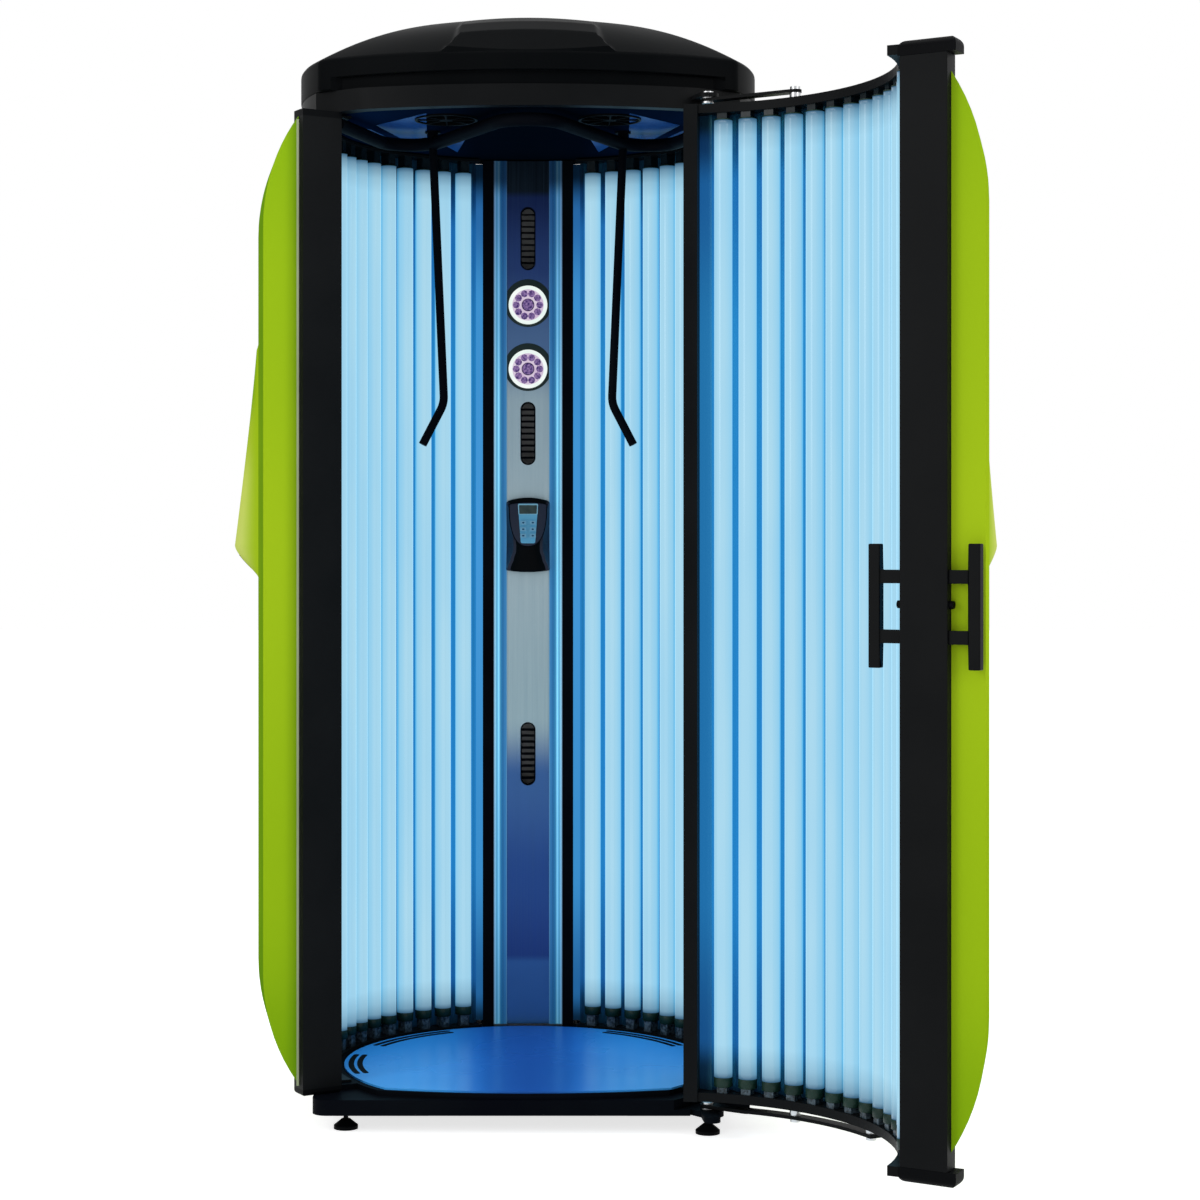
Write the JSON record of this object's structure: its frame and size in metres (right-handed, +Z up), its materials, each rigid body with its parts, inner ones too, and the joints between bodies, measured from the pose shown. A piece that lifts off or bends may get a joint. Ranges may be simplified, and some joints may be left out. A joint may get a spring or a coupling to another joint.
{
  "type": "vertical tanning booth",
  "caption": "Stand-up tanning booth with a curved hinged door, lamp-lined walls, a rear control column, a round canopy and a wavy grab bar.",
  "frame": {"origin": "centre of the overall box with the door fully open, at floor level", "axes": "+Z up, -Y towards the open front, +X to the hinge side of the doorway"},
  "size_m": [1.5786, 1.663, 2.319],
  "materials": {
    "black_satin": "satin powder coat",
    "black_plastic": "fine-grained moulding",
    "black_gloss": "smooth satin-gloss moulding",
    "lime_green": "smooth gloss moulding",
    "lamp_glass": "frosted lit tube",
    "socket": "moulded lampholder",
    "reflector": "polished sheet under blue light",
    "alu": "anodised extrusion",
    "panel_alu": "fine brushed sheet",
    "floor_blue": "smooth wipe-clean sheet",
    "lens": "frosted lit lens",
    "lens_ring": "lit ring",
    "display": "liquid crystal window",
    "key_grey": "pad",
    "zinc": "zinc plated",
    "grey_paint": "grey enamel"
  },
  "bodies": {
    "cabin": {"base_frame": "black_satin", "levelling_feet": "black_plastic", "floor_tray": "black_satin", "floor_panel": "floor_blue", "left_post": "black_satin", "right_post": "black_satin", "post_caps": "black_plastic", "lamp_rings": "black_satin", "cabin_lamps": "lamp_glass", "lamp_holders": "socket", "reflector_left": "reflector", "reflector_right": "reflector", "column_rails": "alu", "column_trims": "black_satin", "column_panel": "panel_alu", "air_nozzles": "black_plastic", "face_lamp_rings": "lens_ring", "face_lamp_lenses": "lens", "column_duct": "grey_paint", "pod_housing": "black_gloss", "pod_display": "display", "side_cover_left": "lime_green", "side_cover_right": "lime_green", "air_scoops": "lime_green", "rear_cover": "black_satin", "canopy_ring": "black_satin", "ceiling_panel": "reflector", "fan_housings": "black_plastic", "fan_grilles": "alu", "dome": "black_gloss", "grab_bar": "black_satin", "hanging_grips": "black_satin", "hinge_bracket": "black_satin", "hinge_pins": "zinc", "ballast_plate": "zinc", "ballasts": "grey_paint", "power_box": "grey_paint", "mains_gland": "black_plastic"},
    "door": {"door_rails": "black_satin", "door_stile": "black_satin", "door_pillar": "black_satin", "door_pillar_caps": "black_plastic", "door_reflector": "reflector", "door_lamps": "lamp_glass", "door_lamp_holders": "socket", "door_cover": "lime_green", "door_scoop": "lime_green", "door_edge_trim": "black_satin", "door_handles": "black_satin", "door_latch_knobs": "zinc", "hinge_arms": "black_satin", "arm_fasteners": "zinc"},
    "fan_left": {"fan_rotor_left": "black_plastic"},
    "fan_right": {"fan_rotor_right": "black_plastic"},
    "key_1": {"key_1": "key_grey"},
    "key_2": {"key_2": "key_grey"},
    "key_3": {"key_3": "key_grey"},
    "key_4": {"key_4": "key_grey"},
    "key_5": {"key_5": "key_grey"},
    "key_6": {"key_6": "key_grey"}
  },
  "joints": [
    {"name": "door_hinge", "type": "hinge", "parent": "cabin", "child": "door", "pos_m": [0.23504, -0.06455, 1.08], "axis": [0, 0, 1], "range_deg": [-117, 0]},
    {"name": "fan_left_spin", "type": "hinge", "parent": "cabin", "child": "fan_left", "pos_m": [-0.30296, 0.10345, 2.112], "axis": [0, 0, 1], "continuous": true},
    {"name": "fan_right_spin", "type": "hinge", "parent": "cabin", "child": "fan_right", "pos_m": [0.04104, 0.10345, 2.112], "axis": [0, 0, 1], "continuous": true},
    {"name": "key_1_press", "type": "slide", "parent": "cabin", "child": "key_1", "axis": [0, 1, 0], "range_m": [0, 0.0012], "stiffness_N_per_m": 250},
    {"name": "key_2_press", "type": "slide", "parent": "cabin", "child": "key_2", "axis": [0, 1, 0], "range_m": [0, 0.0012], "stiffness_N_per_m": 250},
    {"name": "key_3_press", "type": "slide", "parent": "cabin", "child": "key_3", "axis": [0, 1, 0], "range_m": [0, 0.0012], "stiffness_N_per_m": 250},
    {"name": "key_4_press", "type": "slide", "parent": "cabin", "child": "key_4", "axis": [0, 1, 0], "range_m": [0, 0.0012], "stiffness_N_per_m": 250},
    {"name": "key_5_press", "type": "slide", "parent": "cabin", "child": "key_5", "axis": [0, 1, 0], "range_m": [0, 0.0012], "stiffness_N_per_m": 250},
    {"name": "key_6_press", "type": "slide", "parent": "cabin", "child": "key_6", "axis": [0, 1, 0], "range_m": [0, 0.0012], "stiffness_N_per_m": 250}
  ]
}
